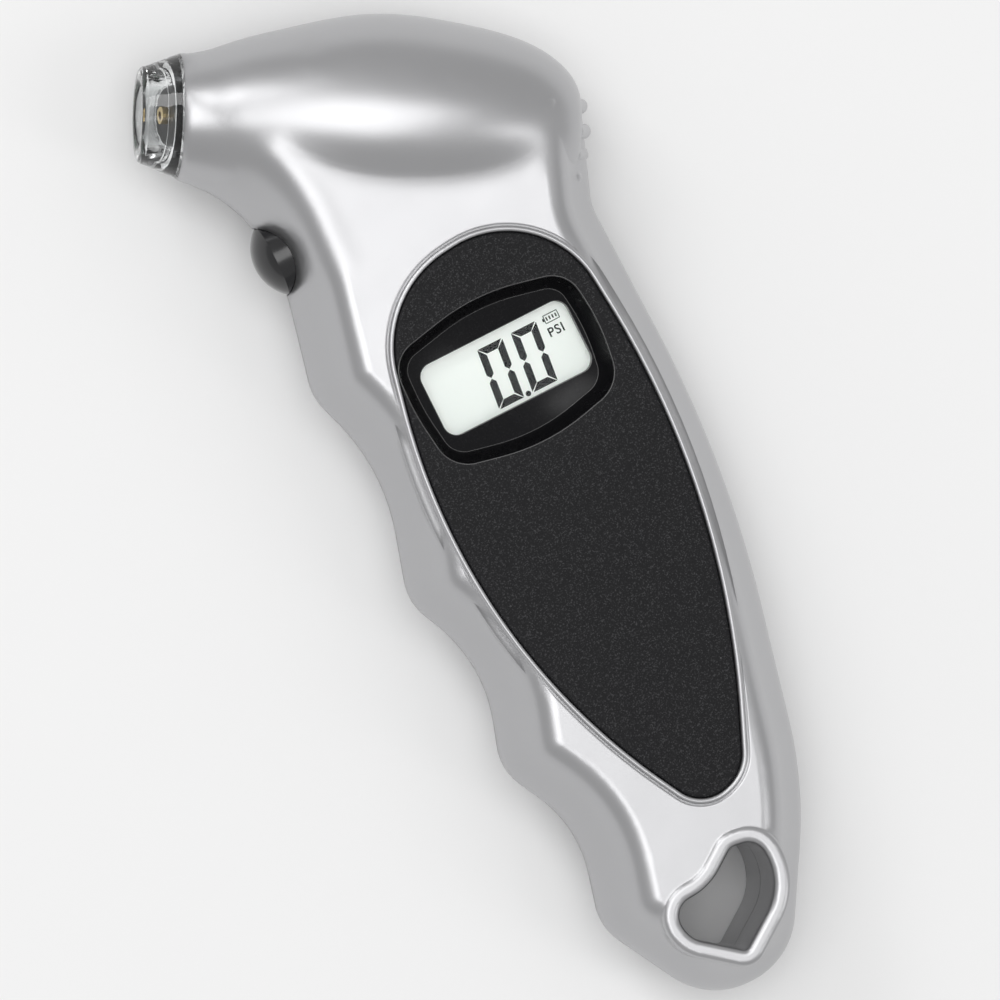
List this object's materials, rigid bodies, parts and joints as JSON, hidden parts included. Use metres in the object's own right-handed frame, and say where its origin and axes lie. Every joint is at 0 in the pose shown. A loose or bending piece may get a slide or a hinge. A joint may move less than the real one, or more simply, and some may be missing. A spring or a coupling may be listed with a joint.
{
  "type": "tire pressure gauge",
  "caption": "Hand-held digital tire pressure gauge with an angled clear nozzle, a side power button, a display in a black panel, a finger-grip handle and a heart-shaped lanyard hole.",
  "frame": {"origin": "centre of the flat back face that it lies on, on the back plane", "axes": "+X to the right of the display, +Y along the handle towards the head, +Z out of the display"},
  "size_m": [0.0615, 0.1562, 0.0275],
  "materials": {
    "silver_paint": "satin silver coating on moulded plastic",
    "panel_black": "fine-grained matte",
    "clear_plastic": "clear polycarbonate",
    "lcd_cell": "display glass",
    "white_plastic": "white moulded",
    "rubber_black": "soft",
    "silicone": "milky silicone",
    "board_green": "solder mask",
    "chip_black": "moulded package",
    "tin": "bright can",
    "lamp": "clear lamp",
    "button_black": "satin black",
    "steel": "plain",
    "screw_steel": "zinc plated",
    "brass": "turned"
  },
  "bodies": {
    "housing": {"front_shell": "silver_paint", "back_shell": "silver_paint", "front_panel": "panel_black", "battery_door": "panel_black", "lcd_window": "clear_plastic", "nozzle_tip": "clear_plastic", "lcd_glass": "lcd_cell", "backlight_plate": "white_plastic", "lcd_frame": "white_plastic", "nozzle_collar": "white_plastic", "zebra_strips": "rubber_black", "nozzle_seal": "rubber_black", "air_tube": "silicone", "main_board": "board_green", "led_board": "board_green", "switch_board": "board_green", "controller_chip": "chip_black", "small_components": "chip_black", "pressure_sensor": "chip_black", "switch_body": "chip_black", "crystal_can": "tin", "nozzle_leds": "lamp", "button_cells": "steel", "coin_cell": "steel", "cell_contact_positive": "steel", "cell_contact_negative": "steel", "coin_contact_top": "steel", "coin_contact_side": "steel", "housing_screws": "screw_steel", "battery_door_screw": "screw_steel", "board_screws": "screw_steel", "valve_depressor": "brass"},
    "button": {"button_cap": "button_black"},
    "plunger": {"switch_plunger": "button_black"}
  },
  "joints": [
    {"name": "button_press", "type": "slide", "parent": "housing", "child": "button", "axis": [1, 0, 0], "range_m": [0, 0.0006], "stiffness_N_per_m": 3000},
    {"name": "plunger_press", "type": "slide", "parent": "housing", "child": "plunger", "axis": [1, 0, 0], "range_m": [0, 0.0003]}
  ],
  "couplings": [
    {"joint": "plunger_press", "follows": "button_press", "ratio": 0.5}
  ]
}
